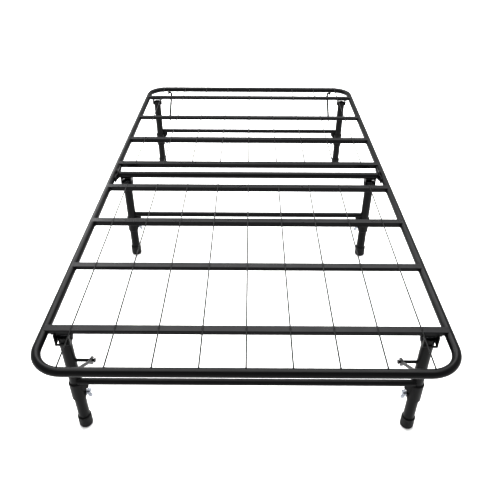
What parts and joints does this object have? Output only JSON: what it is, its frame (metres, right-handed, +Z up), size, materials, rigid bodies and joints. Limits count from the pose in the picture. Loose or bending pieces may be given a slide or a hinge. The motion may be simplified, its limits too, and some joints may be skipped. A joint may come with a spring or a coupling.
{
  "type": "metal bed frame",
  "caption": "Folding steel platform bed frame: hinged bent-tube halves with cross slats and long wires, on leg frames that fold flat, with braces and clamped lower legs.",
  "frame": {"origin": "on the floor under the middle of the frame", "axes": "+X to the right seen from the foot end, +Y along the frame towards the head end, +Z up"},
  "size_m": [0.991, 1.875, 0.3655],
  "materials": {
    "rail_paint": "semi-gloss black powder coat on steel tube",
    "slat_paint": "semi-gloss black powder coat on rectangular steel tube",
    "wire_paint": "semi-gloss black powder coat on drawn steel wire",
    "leg_paint": "semi-gloss black powder coat on steel tube",
    "fitting_paint": "semi-gloss black powder coat on pressed steel plate",
    "strut_paint": "semi-gloss black powder coat on steel rod",
    "rivet_steel": "black zinc plated steel",
    "screw_zinc": "bright zinc plated steel",
    "cap_plastic": "moulded black polyethylene"
  },
  "bodies": {
    "foot_half": {"foot_rail": "rail_paint", "foot_slat_1": "slat_paint", "foot_slat_2": "slat_paint", "foot_slat_3": "slat_paint", "foot_slat_4": "slat_paint", "foot_wires": "wire_paint", "foot_hinge_rivets": "rivet_steel", "foot_strut_lugs": "fitting_paint", "centre_rail": "rail_paint", "foot_hinge_plates": "fitting_paint", "hinge_pins": "rivet_steel", "foot_leg_brackets": "fitting_paint", "foot_leg_pins": "rivet_steel", "centre_leg_brackets": "fitting_paint", "centre_leg_pins": "rivet_steel"},
    "head_half": {"head_rail": "rail_paint", "head_slat_1": "slat_paint", "head_slat_2": "slat_paint", "head_slat_3": "slat_paint", "head_slat_4": "slat_paint", "head_wires": "wire_paint", "head_hinge_rivets": "rivet_steel", "head_strut_lugs": "fitting_paint", "head_hinge_plates": "fitting_paint", "head_leg_brackets": "fitting_paint", "head_leg_pins": "rivet_steel"},
    "foot_legs": {"foot_leg_right": "leg_paint", "foot_leg_left": "leg_paint", "foot_lower_legs": "leg_paint", "foot_sleeves": "leg_paint", "foot_crossbar": "leg_paint", "foot_gussets": "fitting_paint", "foot_foot_caps": "cap_plastic", "foot_leg_studs": "strut_paint"},
    "centre_legs": {"centre_leg_right": "leg_paint", "centre_leg_left": "leg_paint", "centre_lower_legs": "leg_paint", "centre_sleeves": "leg_paint", "centre_crossbar": "leg_paint", "centre_gussets": "fitting_paint", "centre_foot_caps": "cap_plastic"},
    "head_legs": {"head_leg_right": "leg_paint", "head_leg_left": "leg_paint", "head_lower_legs": "leg_paint", "head_sleeves": "leg_paint", "head_crossbar": "leg_paint", "head_gussets": "fitting_paint", "head_foot_caps": "cap_plastic", "head_leg_studs": "strut_paint"},
    "foot_strut_right": {"foot_strut_right": "strut_paint"},
    "foot_strut_left": {"foot_strut_left": "strut_paint"},
    "head_strut_right": {"head_strut_right": "strut_paint"},
    "head_strut_left": {"head_strut_left": "strut_paint"},
    "foot_wing_screw_right": {"foot_wing_screw_right": "screw_zinc"},
    "foot_wing_screw_left": {"foot_wing_screw_left": "screw_zinc"},
    "centre_wing_screw_right": {"centre_wing_screw_right": "screw_zinc"},
    "centre_wing_screw_left": {"centre_wing_screw_left": "screw_zinc"},
    "head_wing_screw_right": {"head_wing_screw_right": "screw_zinc"},
    "head_wing_screw_left": {"head_wing_screw_left": "screw_zinc"}
  },
  "joints": [
    {"name": "halves_fold", "type": "hinge", "parent": "foot_half", "child": "head_half", "pos_m": [0, 0.013, 0.3575], "axis": [1, 0, 0], "range_deg": [0, 180]},
    {"name": "foot_legs_fold", "type": "hinge", "parent": "foot_half", "child": "foot_legs", "pos_m": [0, -0.797, 0.3255], "axis": [1, 0, 0], "range_deg": [0, 90]},
    {"name": "centre_legs_fold", "type": "hinge", "parent": "foot_half", "child": "centre_legs", "pos_m": [0, 0.013, 0.3145], "axis": [-1, 0, 0], "range_deg": [0, 90]},
    {"name": "head_legs_fold", "type": "hinge", "parent": "head_half", "child": "head_legs", "pos_m": [0, 0.797, 0.3255], "axis": [-1, 0, 0], "range_deg": [0, 90]},
    {"name": "foot_strut_right_lift", "type": "hinge", "parent": "foot_half", "child": "foot_strut_right", "pos_m": [0.3865, -0.914, 0.333], "axis": [1, 0, 0], "range_deg": [0, 36.79]},
    {"name": "foot_strut_left_lift", "type": "hinge", "parent": "foot_half", "child": "foot_strut_left", "pos_m": [-0.3865, -0.914, 0.333], "axis": [1, 0, 0], "range_deg": [0, 36.79]},
    {"name": "head_strut_right_lift", "type": "hinge", "parent": "head_half", "child": "head_strut_right", "pos_m": [0.3865, 0.914, 0.333], "axis": [-1, 0, 0], "range_deg": [0, 36.79]},
    {"name": "head_strut_left_lift", "type": "hinge", "parent": "head_half", "child": "head_strut_left", "pos_m": [-0.3865, 0.914, 0.333], "axis": [-1, 0, 0], "range_deg": [0, 36.79]},
    {"name": "foot_wing_screw_right_turn", "type": "hinge", "parent": "foot_legs", "child": "foot_wing_screw_right", "pos_m": [0.4115, -0.797, 0.126], "axis": [1, 0, 0], "continuous": true},
    {"name": "foot_wing_screw_left_turn", "type": "hinge", "parent": "foot_legs", "child": "foot_wing_screw_left", "pos_m": [-0.4115, -0.797, 0.126], "axis": [-1, 0, 0], "continuous": true},
    {"name": "centre_wing_screw_right_turn", "type": "hinge", "parent": "centre_legs", "child": "centre_wing_screw_right", "pos_m": [0.4115, 0.013, 0.126], "axis": [1, 0, 0], "continuous": true},
    {"name": "centre_wing_screw_left_turn", "type": "hinge", "parent": "centre_legs", "child": "centre_wing_screw_left", "pos_m": [-0.4115, 0.013, 0.126], "axis": [-1, 0, 0], "continuous": true},
    {"name": "head_wing_screw_right_turn", "type": "hinge", "parent": "head_legs", "child": "head_wing_screw_right", "pos_m": [0.4115, 0.797, 0.126], "axis": [1, 0, 0], "continuous": true},
    {"name": "head_wing_screw_left_turn", "type": "hinge", "parent": "head_legs", "child": "head_wing_screw_left", "pos_m": [-0.4115, 0.797, 0.126], "axis": [-1, 0, 0], "continuous": true}
  ],
  "couplings": [
    {"joint": "foot_strut_right_lift", "follows": "foot_legs_fold", "ratio": 0.4087},
    {"joint": "foot_strut_left_lift", "follows": "foot_legs_fold", "ratio": 0.4087},
    {"joint": "head_strut_right_lift", "follows": "head_legs_fold", "ratio": 0.4087},
    {"joint": "head_strut_left_lift", "follows": "head_legs_fold", "ratio": 0.4087}
  ]
}
